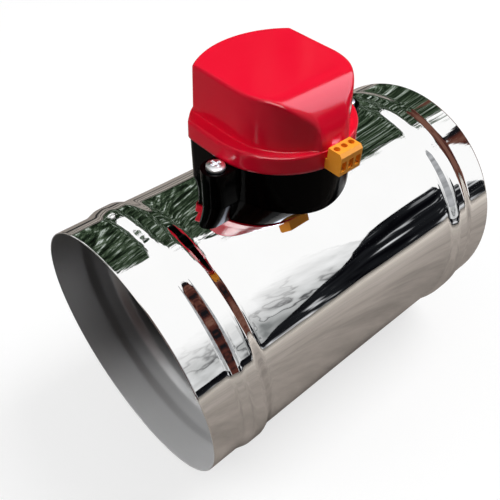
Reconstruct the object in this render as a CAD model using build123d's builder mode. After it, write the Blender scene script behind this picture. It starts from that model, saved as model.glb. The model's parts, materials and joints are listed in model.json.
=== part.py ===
from build123d import *
import os
from math import acos, atan2, cos, hypot, pi, radians, sin, sqrt, tan

# Motorized round duct damper: a beaded sheet-metal sleeve with a disc blade on a cross shaft,
# turned by a geared synchronous motor in a housing on top.
# Millimetres. X runs along the duct, Z up along the shaft, origin where the two cross.

# Sleeve
duct_r = 75.0              # outside of the barrel
spigot_flare = 0.7         # open ends stand out by this much
sheet = 0.6
duct_length = 231.4
duct_shift = 2.4           # middle of the sleeve, seen from the shaft
bead_from_end = 29.0
bead_width = 17.0
bead_height = 2.5
bead_blend = 6.0

# Shaft and its bushes
shaft_r = 4.0
shaft_reach = 14.0         # above the barrel
shaft_flat = 3.0           # from the axis to the driving flat
shaft_flat_length = 6.5
shaft_chamfer = 0.5
running_gap = 0.05
fit_gap = 0.1              # round what is pressed, screwed or seated
bush_r = 6.5
bush_flange_r = 9.5
bush_flange = 2.0
bush_inside = 1.2          # how far a bush stands into the barrel
clip_thick = 0.8
clip_r = 6.5
clip_groove = 0.6
clip_mouth = 1.6           # of the groove's radius

# Blade
plate_thick = 0.6
seal_thick = 1.8
plate_gap = 3.4            # between the plates and the barrel
seal_gap = 0.4             # between the seal's lip and the barrel
notch_half = 9.0
notch_gap = 1.2            # between the notch and a bush
blade_screw_r = 1.5
blade_screw_head_r = 2.8
blade_screw_head = 1.8
blade_screw_pitch = 48.0
blade_recess_reach = 1.2   # of the head's radius, end to end
blade_recess_slot = 0.3    # of the head's radius
blade_recess_depth = 0.5   # of the head's height

# Shares of a screw's own sizes
recess_reach = 0.55        # of the head's radius, from the middle out
recess_slot = 0.28         # of the head's radius
head_rounding = 0.6        # of the head's height
tip_chamfer = 0.4          # of the shank's radius

# Housing plan: a front arc, straight sides and a flatter arc at the back
housing_y = 6.3            # centre of the front arc, behind the shaft
skirt_half = 41.3
base_height = 19.3         # from the barrel's crown to the skirt
skirt_height = 9.2
skirt_taper = 2.5
skirt_back_y = -8.4
skirt_back_r = 55.6
skirt_corner = 9.0
skirt_edge = 2.2
overhang = 1.0             # skirt past the base
raised_half = 33.4
raised_y = 2.0
raised_back_r = 54.0
raised_corner = 3.0
cover_height = 33.7
raised_taper = 2.8
raised_edge = 1.2
shoulder_start = -14.0     # y where the flat top begins to roll down
shoulder_drop = 28.0
nose_half = 8.4
nose_inset = 0.3           # behind the skirt's front
cover_wall = 2.0
base_wall = 2.2
lip_height = 2.7
lip_wall = 1.4
lip_gap = 0.3
floor_lift = 3.0           # above the barrel's crown
floor_thick = 2.5
shaft_opening_r = 11.0

# Lugs and their screws
lug_out = 5.2              # from the skirt's side to a lug's centre
lug_r = 7.5
lug_height = 18.9          # above the barrel's crown
lug_seat_r = 6.2
lug_seat = 0.4
mount_screw_r = 2.0
mount_screw_head_r = 4.9
mount_screw_head = 3.0
mount_screw_bite = 2.7     # past the barrel's outside

# Cover screws, driven up from below into posts in the cover
cover_posts = [(-28.4, 30.6), (28.4, 30.6), (-21.0, -15.0), (21.0, -15.0)]
cover_post_r = 3.2
cover_screw_r = 1.5
cover_screw_head_r = 2.8
cover_screw_head = 1.8
cover_screw_length = 10.0

# Gear train
module = 0.8
pressure_angle = 25.0
addendum = 0.8             # of the module
dedendum = 1.05            # of the module
backlash = 0.14
output_teeth = 48
wheel_teeth = 36
pinion_teeth = 12
second_angle = 120.0       # second gear, seen from the shaft
rotor_x = 0.0
rotor_y = 6.0
gear_thick = 3.0
output_thick = 4.0
gear_gap = 0.6
axle_r = 1.5
stand_height = 10.5
gear_plate = 1.2
stand_points = [(-25.0, -6.0), (26.0, -4.0), (27.0, 20.0), (-27.0, 9.0)]
stand_r = 3.2
stand_screw_r = 1.4
stand_screw_head_r = 2.6
stand_screw_head = 1.6
stand_screw_length = 22.0

# Output coupling and limit cam
coupler_r = 7.0
journal_r = 4.0
cam_r = 8.6
cam_lobe_r = 10.6
cam_lobe_angle = 40.0
cam_lift = 2.5             # above the base's floor
cam_thick = 4.0

# Limit switches
switch_length = 20.0
switch_width = 6.4
switch_height = 9.0
switch_hook = 0.7          # nib that holds a lever's end
lever_gap = 0.4            # between the cam's lobe and a lever
lever_thick = 0.5
lever_height = 4.0
lever_length = 17.0
lever_travel = 2.0
switch_screw_r = 1.0
switch_screw_head_r = 1.9
switch_screw_head = 1.2
switch_screw_span = 9.5

# Motor
can_gap = 0.8              # between the coil and the can
can_height = 14.8
can_wall = 0.8
coil_inner_r = 11.6
coil_outer_r = 19.4
bobbin_wall = 1.0
coil_height = 11.0
magnet_r = 9.8
magnet_height = 9.0
claw_r = 10.2
claw_thick = 0.8
claw_width = 3.0
claw_length = 9.0
claw_count = 6
rotor_axle_r = 1.0
lead_r = 0.6
lead_x = 3.0
lead_in = 12.8             # from the skirt's front to the leads' solder joints
lead_drop = 4.0

# Circuit board and terminal
board_half = 12.5
board_gap = 0.2            # between the board's corners and the lip
board_in = 14.2            # from the skirt's front to the board's back edge
board_thick = 1.6
board_screw_x = 9.9
board_screw_in = 12.1      # from the skirt's front
board_post_r = 2.5
board_screw_r = 1.0
board_screw_head_r = 2.0
board_screw_head = 1.4
board_screw_length = 8.0
terminal_pitch = 4.9
terminal_ways = 3
terminal_depth = 8.7
terminal_height = 11.5
terminal_chamfer = 1.6
terminal_tail_in = 10.6    # from the skirt's front
terminal_tail_height = 5.4
terminal_gap = 0.3
entry_width = 3.3
entry_height = 5.2
entry_depth = 6.0
release_r = 1.7
release_depth = 4.5
release_back = 3.2         # from the terminal's back edge
clamp_thick = 0.4
clamp_length = 5.0
entry_sill = 2.0

# Worked out from the sizes above
quarter_turn = 90.0
bore_r = duct_r - sheet
spigot_r = duct_r + spigot_flare
plate_r = bore_r - plate_gap
shaft_top = duct_r + shaft_reach
seal_r = bore_r - seal_gap
blade_thick = 2 * plate_thick + seal_thick
notch_z = bore_r - bush_inside - notch_gap
floor_low = duct_r + floor_lift
floor_top = floor_low + floor_thick
lug_top = duct_r + lug_height
mount_screw_length = lug_top - lug_seat - duct_r + mount_screw_bite
skirt_low = duct_r + base_height
skirt_high = skirt_low + skirt_height
raised_top = skirt_low + cover_height
skirt_front = housing_y - skirt_half
nose_front = skirt_front + nose_inset
lug_x = skirt_half + lug_out
can_r = coil_outer_r + can_gap + can_wall
lead_down = skirt_front + lead_in
board_back = skirt_front + board_in
board_screw_y = skirt_front + board_screw_in
terminal_tail_back = skirt_front + terminal_tail_in
plate_low = floor_top + stand_height
cam_low = floor_top + cam_lift
output_low = plate_low + gear_plate + 2 * gear_gap
second_low = output_low + output_thick + gear_gap
first_low = second_low + gear_thick + gear_gap
upper_plate = first_low + gear_thick + 2 * gear_gap
can_low = upper_plate + gear_plate
output_pitch_r = module * output_teeth / 2
wheel_pitch_r = module * wheel_teeth / 2
pinion_pitch_r = module * pinion_teeth / 2
second_reach = output_pitch_r + pinion_pitch_r
wheel_reach = wheel_pitch_r + pinion_pitch_r
second_x = second_reach * cos(radians(second_angle))
second_y = second_reach * sin(radians(second_angle))
terminal_half = terminal_pitch * terminal_ways / 2
terminal_back = skirt_front - terminal_gap
board_top = skirt_low + terminal_gap
board_low = board_top - board_thick
lip_inner_r = skirt_half - cover_wall - lip_gap - lip_wall
board_front = housing_y - sqrt(lip_inner_r**2 - board_half**2) + board_gap
terminal_low = board_top
terminal_top = terminal_low + terminal_height
terminal_tail_top = terminal_low + terminal_tail_height
terminal_front = terminal_back - terminal_depth
terminal_xs = [terminal_pitch * (i - (terminal_ways - 1) / 2) for i in range(terminal_ways)]
lever_x = cam_lobe_r + lever_gap
switch_x = lever_x + lever_thick + lever_travel
coupler_low = shaft_top - shaft_flat_length + running_gap
duct_low_end = duct_shift - duct_length / 2
duct_high_end = duct_shift + duct_length / 2


def save(piece, name):
    """Label a finished piece and write it as one STEP file."""
    piece.part.label = name
    export_step(piece.part, f"parts/{name}.step")


def meeting_point(first, second, reach):
    """Point at the same reach from two centres, on the side away from the shaft."""
    span_x = second[0] - first[0]
    span_y = second[1] - first[1]
    span = hypot(span_x, span_y)
    rise = sqrt(reach**2 - (span / 2) ** 2)
    middle_x = (first[0] + second[0]) / 2
    middle_y = (first[1] + second[1]) / 2
    return middle_x - span_y / span * rise, middle_y + span_x / span * rise


first_x, first_y = meeting_point((second_x, second_y), (rotor_x, rotor_y), wheel_reach)


def sleeve_section(inset):
    """Half section of the sleeve, from the axis out to its wall less inset."""
    low = duct_low_end
    high = duct_high_end
    half = bead_width / 2
    end_r = spigot_r - inset
    barrel_r = duct_r - inset
    crest_r = barrel_r + bead_height
    bead_low = low + bead_from_end
    bead_high = high - bead_from_end
    with BuildSketch(Plane.XZ) as section:
        with BuildLine():
            Polyline((low, end_r), (low, 0), (high, 0), (high, end_r), (bead_high + half, end_r))
            ThreePointArc((bead_high + half, end_r), (bead_high, crest_r), (bead_high - half, barrel_r))
            Line((bead_high - half, barrel_r), (bead_low + half, barrel_r))
            ThreePointArc((bead_low + half, barrel_r), (bead_low, crest_r), (bead_low - half, end_r))
            Line((bead_low - half, end_r), (low, end_r))
        make_face()
        roots = section.vertices().filter_by(lambda v: v.Y > duct_r / 2 and low < v.X < high)
        fillet(roots, bead_blend)
    return section.sketch


def housing_plan(half, front_y, back_y, back_r, corner):
    """Plan of the housing: front arc, straight sides and a flatter back arc with rounded corners."""
    corner_y = back_y + sqrt(back_r**2 - half**2)
    with BuildSketch() as plan:
        with BuildLine():
            Line((half, front_y), (half, corner_y))
            ThreePointArc((half, corner_y), (0, back_y + back_r), (-half, corner_y))
            Line((-half, corner_y), (-half, front_y))
            ThreePointArc((-half, front_y), (0, front_y - half), (half, front_y))
        make_face()
        fillet(plan.vertices().group_by(Axis.Y)[-1], corner)
    return plan.sketch


def skirt_plan(inset):
    """Plan of the cover's skirt, moved in by inset."""
    corner = max(skirt_corner - inset, raised_edge)
    return housing_plan(skirt_half - inset, housing_y, skirt_back_y, skirt_back_r - inset, corner)


def rolled_block(plan, foot, taper, inset, rounding):
    """Block on a plan, cut by the flat top and the rolled shoulder moved in by inset, with rounded rims."""
    top = raised_top - inset
    shoulder_low = raised_top - shoulder_drop
    front = nose_front + inset
    clear = 2 * nose_front
    with BuildPart() as block:
        with BuildSketch(Plane.XY.offset(foot)):
            add(plan)
        extrude(amount=top - foot, taper=taper)
        with BuildSketch(Plane.YZ.offset(-skirt_half)):
            with BuildLine():
                EllipticalCenterArc(
                    (shoulder_start, shoulder_low),
                    shoulder_start - front,
                    shoulder_drop - inset,
                    start_angle=quarter_turn,
                    arc_size=quarter_turn,
                )
                Polyline((front, shoulder_low), (clear, shoulder_low), (clear, top), (shoulder_start, top))
            make_face()
        extrude(amount=2 * skirt_half, mode=Mode.SUBTRACT)
        if rounding:
            rolled = block.faces().filter_by(GeomType.EXTRUSION)
            rims = rolled.edges() + block.faces().sort_by(Axis.Z)[-1].edges()
            fillet(rims.filter_by(lambda e: e.bounding_box().size.Y > rounding / 10), rounding)
    return block.part


def raised_body(inset):
    """Raised middle of the cover, moved in by inset."""
    corner = max(raised_corner - inset, raised_edge)
    plan = housing_plan(raised_half - inset, raised_y, skirt_back_y, raised_back_r - inset, corner)
    rounding = 0.0 if inset else raised_edge
    return rolled_block(plan, skirt_high - cover_wall - skirt_edge, raised_taper, inset, rounding)


def cover_nose(inset):
    """Narrow front of the cover that runs down through the skirt, moved in by inset."""
    front = nose_front + inset
    with BuildSketch() as plan:
        with Locations((0, front / 2)):
            Rectangle(2 * (nose_half - inset), -front)
    return rolled_block(plan.sketch, skirt_low, 0.0, inset, 0.0)


def pan_screw(radius, length, head_r, head):
    """Cross-recess pan-head screw pointing down, underside of the head at the origin."""
    recess = recess_reach * head_r
    slot = recess_slot * head_r
    with BuildPart() as screw:
        Cylinder(radius, length, align=(Align.CENTER, Align.CENTER, Align.MAX))
        chamfer(screw.edges().group_by(Axis.Z)[0], tip_chamfer * radius)
        Cylinder(head_r, head, align=(Align.CENTER, Align.CENTER, Align.MIN))
        fillet(screw.edges().group_by(Axis.Z)[-1], head_rounding * head)
        with Locations((0, 0, head)):
            Box(2 * recess, slot, head, mode=Mode.SUBTRACT)
            Box(slot, 2 * recess, head, mode=Mode.SUBTRACT)
    return screw.part


def involute(angle):
    """Involute function of a pressure angle in radians."""
    return tan(angle) - angle


def gear_outline(teeth, phase):
    """Spur gear with straight runs between points of its involute flanks, a tooth at phase radians."""
    pitch_r = module * teeth / 2
    base_r = pitch_r * cos(radians(pressure_angle))
    tip_r = pitch_r + addendum * module
    root_r = pitch_r - dedendum * module
    half_tooth = pi / (2 * teeth) - backlash / (2 * pitch_r)
    start_r = max(base_r, root_r)
    flank = [start_r, (start_r + pitch_r) / 2, pitch_r, tip_r]
    points = []
    for tooth in range(teeth):
        middle = phase + 2 * pi * tooth / teeth
        rising = []
        for r in flank:
            lean = involute(radians(pressure_angle)) - involute(acos(min(1.0, base_r / r)))
            rising.append((r, half_tooth + lean))
        side = rising if start_r == root_r else [(root_r, rising[0][1])] + rising
        turns = [(r, middle - a) for r, a in side] + [(r, middle + a) for r, a in reversed(side)]
        points += [(r * cos(a), r * sin(a)) for r, a in turns]
    with BuildSketch() as outline:
        with BuildLine():
            Polyline(*points, close=True)
        make_face()
    return outline.sketch


def meshed_phase(driver, driver_teeth, driver_phase, follower, follower_teeth):
    """Phase that puts a gap of the follower round the driver's tooth on the line of centres."""
    line = atan2(follower[1] - driver[1], follower[0] - driver[0])
    return line + pi - (driver_phase - line) * driver_teeth / follower_teeth + pi / follower_teeth


# Sleeve: barrel, beads and spigots rolled from one sheet
outer_section = sleeve_section(0.0)
inner_section = sleeve_section(sheet)
with BuildPart() as duct_sleeve:
    add(outer_section)
    revolve(axis=Axis.X)
    add(inner_section)
    revolve(axis=Axis.X, mode=Mode.SUBTRACT)
    Cylinder(bush_r + fit_gap, 4 * duct_r, mode=Mode.SUBTRACT)
    with Locations((-lug_x, 0, duct_r), (lug_x, 0, duct_r)):
        Cylinder(mount_screw_r + fit_gap, duct_r / 2, mode=Mode.SUBTRACT)
save(duct_sleeve, "duct_sleeve")

# Bushes: a flange shaped to the barrel outside, a sleeve through the wall
for side, bush_name in ((1, "upper_bush"), (-1, "lower_bush")):
    with BuildPart() as bush:
        with BuildSketch(Plane.XY.offset(bore_r - bush_inside)):
            Circle(bush_r)
        extrude(amount=bush_inside + sheet + bush_flange)
        with BuildSketch(Plane.XY.offset(duct_r - bush_flange)):
            Circle(bush_flange_r)
        extrude(amount=2 * bush_flange)
        with BuildSketch(Plane.YZ):
            Circle(duct_r + fit_gap)
        extrude(amount=2 * bush_flange_r, both=True, mode=Mode.SUBTRACT)
        with BuildSketch(Plane.XY.offset(bore_r - bush_inside)):
            Circle(bush_r)
        extrude(amount=bush_inside + sheet + bush_flange)
        Cylinder(shaft_r + running_gap, 4 * duct_r, mode=Mode.SUBTRACT)
        if side < 0:
            mirror(about=Plane.XY, mode=Mode.REPLACE)
    save(bush, bush_name)

# Blade shaft: a rod slotted for the blade, a driving flat on top and a clip groove below
clip_top = -(duct_r + bush_flange + running_gap)
shaft_low = clip_top - 3 * clip_thick
with BuildPart() as blade_shaft:
    with BuildSketch(Plane.XY.offset(shaft_low)):
        Circle(shaft_r)
    extrude(amount=shaft_top - shaft_low)
    chamfer(blade_shaft.faces().sort_by(Axis.Z)[0].edges(), shaft_chamfer)
    with BuildSketch(Plane.XY.offset(-notch_z)):
        Rectangle(4 * shaft_r, blade_thick)
    extrude(amount=2 * notch_z, mode=Mode.SUBTRACT)
    with BuildSketch(Plane.XY.offset(shaft_top - shaft_flat_length)):
        with Locations((0, shaft_flat + shaft_r)):
            Rectangle(4 * shaft_r, 2 * shaft_r)
    extrude(amount=shaft_flat_length, mode=Mode.SUBTRACT)
    with BuildSketch(Plane.XY.offset(clip_top - clip_thick)):
        Circle(2 * shaft_r)
        Circle(shaft_r - clip_groove, mode=Mode.SUBTRACT)
    extrude(amount=clip_thick, mode=Mode.SUBTRACT)
    with BuildSketch(Plane.XZ):
        with GridLocations(0, blade_screw_pitch, 1, 3):
            Circle(blade_screw_r)
    extrude(amount=2 * shaft_r, both=True, mode=Mode.SUBTRACT)
save(blade_shaft, "blade_shaft")

with BuildPart() as shaft_clip:
    with BuildSketch(Plane.XY.offset(clip_top - clip_thick)):
        Circle(clip_r)
        Circle(shaft_r - clip_groove, mode=Mode.SUBTRACT)
        with Locations((clip_r, 0)):
            Rectangle(2 * clip_r, clip_mouth * (shaft_r - clip_groove), mode=Mode.SUBTRACT)
    extrude(amount=clip_thick)
save(shaft_clip, "shaft_clip")


def blade_layer(radius, low, thick):
    """One round layer of the blade, notched at the bushes and drilled for the clamp screws."""
    with BuildPart() as layer:
        with BuildSketch(Plane.XZ.offset(-low - thick)):
            Circle(radius)
            with Locations((0, notch_z + radius), (0, -notch_z - radius)):
                Rectangle(2 * notch_half, 2 * radius, mode=Mode.SUBTRACT)
            with GridLocations(0, blade_screw_pitch, 1, 3):
                Circle(blade_screw_r, mode=Mode.SUBTRACT)
        extrude(amount=thick)
    return layer


blade_plate_front = blade_layer(plate_r, -blade_thick / 2, plate_thick)
save(blade_plate_front, "blade_plate_front")
blade_seal = blade_layer(seal_r, -seal_thick / 2, seal_thick)
save(blade_seal, "blade_seal")
blade_plate_back = blade_layer(plate_r, seal_thick / 2, plate_thick)
save(blade_plate_back, "blade_plate_back")

blade_recess = blade_recess_reach * blade_screw_head_r
blade_slot = blade_recess_slot * blade_screw_head_r
with BuildPart() as blade_screws:
    with BuildSketch(Plane.XZ.offset(shaft_r)):
        with GridLocations(0, blade_screw_pitch, 1, 3):
            Circle(blade_screw_head_r)
    extrude(amount=blade_screw_head)
    fillet(blade_screws.faces().group_by(Axis.Y)[0].edges(), blade_recess_depth * blade_screw_head)
    with BuildSketch(Plane.XZ.offset(-shaft_r)):
        with GridLocations(0, blade_screw_pitch, 1, 3):
            Circle(blade_screw_r)
    extrude(amount=2 * shaft_r)
    with BuildSketch(Plane.XZ.offset(shaft_r + blade_screw_head)):
        with GridLocations(0, blade_screw_pitch, 1, 3):
            Rectangle(blade_recess, blade_slot)
            Rectangle(blade_slot, blade_recess)
    extrude(amount=-blade_recess_depth * blade_screw_head, mode=Mode.SUBTRACT)
save(blade_screws, "blade_screws")

# Base: a walled tray saddled on the barrel, with two lugs and the posts that carry the works
board_posts = [(-board_screw_x, board_screw_y), (board_screw_x, board_screw_y)]
switch_middle = switch_x + switch_width / 2
switch_holes = [
    (side * switch_middle, end * switch_screw_span / 2) for side in (-1, 1) for end in (-1, 1)
]
base_outer = skirt_plan(overhang)
base_inner = skirt_plan(overhang + base_wall)
lip_outer = skirt_plan(cover_wall + lip_gap)
lip_inner = skirt_plan(cover_wall + lip_gap + lip_wall)
with BuildPart() as actuator_base:
    with BuildSketch(Plane.XY):
        add(base_outer)
    extrude(amount=skirt_low)
    with BuildSketch(Plane.XY):
        with Locations((-lug_x, 0), (lug_x, 0)):
            Circle(lug_r)
        Rectangle(2 * lug_x, 2 * lug_r)
    extrude(amount=lug_top)
    with BuildSketch(Plane.XY):
        add(base_inner)
    extrude(amount=floor_low, mode=Mode.SUBTRACT)
    with BuildSketch(Plane.XY.offset(floor_top)):
        add(base_inner)
    extrude(amount=skirt_low - floor_top, mode=Mode.SUBTRACT)
    with BuildSketch(Plane.XY.offset(skirt_low - lip_height)):
        add(lip_outer)
        add(lip_inner, mode=Mode.SUBTRACT)
    extrude(amount=2 * lip_height)
    with BuildSketch(Plane.XY.offset(board_low - fit_gap)):
        with Locations((0, board_front)):
            Rectangle(2 * board_half + 2 * fit_gap, 2 * board_gap)
        with Locations((0, terminal_back)):
            Rectangle(2 * (terminal_half + terminal_gap), 2 * (terminal_tail_back - terminal_back))
    extrude(amount=2 * lip_height, mode=Mode.SUBTRACT)
    with BuildSketch(Plane.XY.offset(lug_top - lug_seat)):
        with Locations((-lug_x, 0), (lug_x, 0)):
            Circle(lug_seat_r)
    extrude(amount=lug_seat, mode=Mode.SUBTRACT)
    with BuildSketch(Plane.XY.offset(floor_top)):
        with Locations(*stand_points):
            Circle(stand_r)
    extrude(amount=plate_low - floor_top)
    with BuildSketch(Plane.XY.offset(floor_top)):
        with Locations(*board_posts):
            Circle(board_post_r)
    extrude(amount=board_low - floor_top)
    with BuildSketch(Plane.YZ):
        Circle(duct_r + fit_gap)
    extrude(amount=2 * lug_x, both=True, mode=Mode.SUBTRACT)
    with BuildSketch(Plane.XY):
        Circle(shaft_opening_r)
        with Locations((-lug_x, 0), (lug_x, 0)):
            Circle(mount_screw_r + fit_gap)
        with Locations(*cover_posts):
            Circle(cover_screw_r + fit_gap)
        with Locations(*stand_points):
            Circle(stand_screw_r + fit_gap)
        with Locations(*board_posts):
            Circle(board_screw_r + fit_gap)
        with Locations(*switch_holes):
            Circle(switch_screw_r + fit_gap)
    extrude(amount=skirt_high, mode=Mode.SUBTRACT)
save(actuator_base, "actuator_base")

mount_screw = pan_screw(mount_screw_r, mount_screw_length, mount_screw_head_r, mount_screw_head)
with BuildPart() as mounting_screws:
    with Locations((-lug_x, 0, lug_top - lug_seat), (lug_x, 0, lug_top - lug_seat)):
        add(mount_screw)
save(mounting_screws, "mounting_screws")

# Cover: a skirt and a raised body with a rolled shoulder, hollow, with posts for its screws
raised_outer = raised_body(0.0)
raised_inner = raised_body(cover_wall)
nose_outer = cover_nose(0.0)
nose_inner = cover_nose(cover_wall)
skirt_outer = skirt_plan(0.0)
skirt_inner = skirt_plan(cover_wall)
with BuildPart() as actuator_cover:
    with BuildSketch(Plane.XY.offset(skirt_low)):
        add(skirt_outer)
    extrude(amount=skirt_high - skirt_low, taper=skirt_taper)
    fillet(actuator_cover.faces().sort_by(Axis.Z)[-1].edges(), skirt_edge)
    add(raised_outer)
    add(nose_outer)
    with BuildSketch(Plane.XY.offset(skirt_low)):
        add(skirt_inner)
    extrude(amount=skirt_high - skirt_low - cover_wall, mode=Mode.SUBTRACT)
    add(raised_inner, mode=Mode.SUBTRACT)
    add(nose_inner, mode=Mode.SUBTRACT)
    with BuildSketch(Plane.XY.offset(floor_top + fit_gap)):
        with Locations(*cover_posts):
            Circle(cover_post_r)
    extrude(amount=raised_top - cover_wall - floor_top - fit_gap)
    with BuildSketch(Plane.XY.offset(floor_top)):
        with Locations(*cover_posts):
            Circle(cover_screw_r + fit_gap)
    extrude(amount=cover_screw_length, mode=Mode.SUBTRACT)
    with BuildSketch(Plane.XY.offset(skirt_low)):
        with Locations((0, terminal_back)):
            Rectangle(2 * (terminal_half + terminal_gap), 2 * (terminal_tail_back - terminal_back))
    extrude(amount=terminal_tail_top + terminal_gap - skirt_low, mode=Mode.SUBTRACT)
save(actuator_cover, "actuator_cover")

cover_screw = pan_screw(cover_screw_r, cover_screw_length, cover_screw_head_r, cover_screw_head)
with BuildPart() as cover_screws:
    with Locations(*[Plane((x, y, floor_low), z_dir=(0, 0, -1)) for x, y in cover_posts]):
        add(cover_screw)
save(cover_screws, "cover_screws")

# Output coupling: a socket on the shaft's flat and a journal through the lower gear plate
with BuildPart() as drive_coupler:
    with BuildSketch(Plane.XY.offset(coupler_low)):
        Circle(coupler_r)
    extrude(amount=plate_low - 2 * gear_gap - coupler_low)
    with BuildSketch(Plane.XY.offset(coupler_low)):
        Circle(journal_r)
    extrude(amount=output_low + output_thick - coupler_low)
    with BuildSketch(Plane.XY.offset(coupler_low)):
        Circle(shaft_r + fit_gap)
        with Locations((0, shaft_flat + fit_gap + shaft_r)):
            Rectangle(4 * shaft_r, 2 * shaft_r, mode=Mode.SUBTRACT)
    extrude(amount=shaft_top + fit_gap - coupler_low, mode=Mode.SUBTRACT)
save(drive_coupler, "drive_coupler")

lobe_half = radians(cam_lobe_angle / 2)
lobe_edge = (cam_lobe_r * cos(lobe_half), cam_lobe_r * sin(lobe_half))
with BuildPart() as limit_cam:
    with BuildSketch(Plane.XY.offset(cam_low)):
        Circle(cam_r)
        with BuildLine():
            Polyline((0, -cam_r), (lobe_edge[0], -lobe_edge[1]))
            ThreePointArc((lobe_edge[0], -lobe_edge[1]), (cam_lobe_r, 0), lobe_edge)
            Polyline(lobe_edge, (lobe_edge[1], lobe_edge[0]))
            ThreePointArc((lobe_edge[1], lobe_edge[0]), (0, cam_lobe_r), (-lobe_edge[1], lobe_edge[0]))
            Polyline((-lobe_edge[1], lobe_edge[0]), (-cam_r, 0), (0, -cam_r))
        make_face()
        Circle(coupler_r + fit_gap, mode=Mode.SUBTRACT)
    extrude(amount=cam_thick)
save(limit_cam, "limit_cam")

# Gear plates, their spacers and the screws that hold the stack on the base
axle_points = [(second_x, second_y), (first_x, first_y)]
for low, shaft_hole, hole_at, plate_name in (
    (plate_low, journal_r + running_gap, (0, 0), "gear_plate_lower"),
    (upper_plate, pinion_pitch_r + module + gear_gap, (rotor_x, rotor_y), "gear_plate_upper"),
):
    with BuildPart() as plate:
        with BuildSketch(Plane.XY.offset(low)):
            with Locations(*stand_points):
                Circle(stand_r)
            with Locations(*axle_points):
                Circle(stand_r)
            make_hull()
            with Locations(*stand_points):
                Circle(stand_screw_r + fit_gap, mode=Mode.SUBTRACT)
            with Locations(*axle_points):
                Circle(axle_r + running_gap, mode=Mode.SUBTRACT)
            with Locations(hole_at):
                Circle(shaft_hole, mode=Mode.SUBTRACT)
        extrude(amount=gear_plate)
    save(plate, plate_name)

with BuildPart() as plate_spacers:
    with BuildSketch(Plane.XY.offset(plate_low + gear_plate)):
        with Locations(*stand_points):
            Circle(stand_r)
            Circle(stand_screw_r + fit_gap, mode=Mode.SUBTRACT)
    extrude(amount=upper_plate - plate_low - gear_plate)
save(plate_spacers, "plate_spacers")

stand_screw = pan_screw(stand_screw_r, stand_screw_length, stand_screw_head_r, stand_screw_head)
with BuildPart() as gearbox_screws:
    with Locations(*[(x, y, can_low) for x, y in stand_points]):
        add(stand_screw)
save(gearbox_screws, "gearbox_screws")

with BuildPart() as gear_axles:
    with BuildSketch(Plane.XY.offset(plate_low)):
        with Locations(*axle_points):
            Circle(axle_r)
    extrude(amount=can_low - plate_low)
save(gear_axles, "gear_axles")

# Gears: the output wheel on the journal, two compound gears, and the rotor's pinion
output_phase = 0.0
second_phase = meshed_phase((0, 0), output_teeth, output_phase, (second_x, second_y), pinion_teeth)
first_phase = meshed_phase((second_x, second_y), wheel_teeth, 0.0, (first_x, first_y), pinion_teeth)
rotor_phase = meshed_phase((first_x, first_y), wheel_teeth, 0.0, (rotor_x, rotor_y), pinion_teeth)

output_outline = gear_outline(output_teeth, output_phase)
with BuildPart() as output_gear:
    with BuildSketch(Plane.XY.offset(output_low)):
        add(output_outline)
        Circle(journal_r + fit_gap, mode=Mode.SUBTRACT)
    extrude(amount=output_thick)
save(output_gear, "output_gear")


def compound_gear(x, y, pinion_phase, pinion_low, wheel_low):
    """Wheel over a pinion in one moulding, with bosses out to both gear plates."""
    wheel = gear_outline(wheel_teeth, 0.0)
    pinion = gear_outline(pinion_teeth, pinion_phase)
    boss_low = plate_low + gear_plate + running_gap
    with BuildPart() as gear:
        with BuildSketch(Plane((x, y, pinion_low))):
            add(pinion)
        extrude(amount=wheel_low - pinion_low)
        with BuildSketch(Plane((x, y, wheel_low))):
            add(wheel)
        extrude(amount=gear_thick)
        with BuildSketch(Plane((x, y, boss_low))):
            Circle(2 * axle_r)
        extrude(amount=upper_plate - running_gap - boss_low)
        with BuildSketch(Plane((x, y, boss_low))):
            Circle(axle_r + running_gap)
        extrude(amount=upper_plate - boss_low, mode=Mode.SUBTRACT)
    return gear


second_gear = compound_gear(second_x, second_y, second_phase, output_low, second_low)
save(second_gear, "second_gear")
first_gear = compound_gear(first_x, first_y, first_phase, second_low, first_low)
save(first_gear, "first_gear")

pinion_outline = gear_outline(pinion_teeth, rotor_phase)
magnet_low = can_low + bobbin_wall + gear_gap
with BuildPart() as rotor_pinion:
    with BuildSketch(Plane((rotor_x, rotor_y, first_low))):
        add(pinion_outline)
    extrude(amount=gear_thick)
    with BuildSketch(Plane((rotor_x, rotor_y, first_low))):
        Circle(3 * rotor_axle_r)
    extrude(amount=magnet_low - first_low)
    with BuildSketch(Plane((rotor_x, rotor_y, first_low))):
        Circle(rotor_axle_r + running_gap)
    extrude(amount=magnet_low - first_low, mode=Mode.SUBTRACT)
save(rotor_pinion, "rotor_pinion")

# Motor: rotor magnet on a fixed axle, claw poles and coil inside a drawn can
with BuildPart() as rotor_magnet:
    with BuildSketch(Plane((rotor_x, rotor_y, magnet_low))):
        Circle(magnet_r)
        Circle(rotor_axle_r + running_gap, mode=Mode.SUBTRACT)
    extrude(amount=magnet_height)
save(rotor_magnet, "rotor_magnet")

with BuildPart() as rotor_axle:
    with BuildSketch(Plane((rotor_x, rotor_y, first_low))):
        Circle(rotor_axle_r)
    extrude(amount=can_low + can_height - first_low)
save(rotor_axle, "rotor_axle")

with BuildPart() as coil_bobbin:
    with BuildSketch(Plane((rotor_x, rotor_y, can_low))):
        Circle(coil_outer_r)
        Circle(coil_inner_r, mode=Mode.SUBTRACT)
    extrude(amount=coil_height)
    with BuildSketch(Plane((rotor_x, rotor_y, can_low + bobbin_wall))):
        Circle(coil_outer_r)
        Circle(coil_inner_r + bobbin_wall, mode=Mode.SUBTRACT)
    extrude(amount=coil_height - 2 * bobbin_wall, mode=Mode.SUBTRACT)
save(coil_bobbin, "coil_bobbin")

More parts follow.
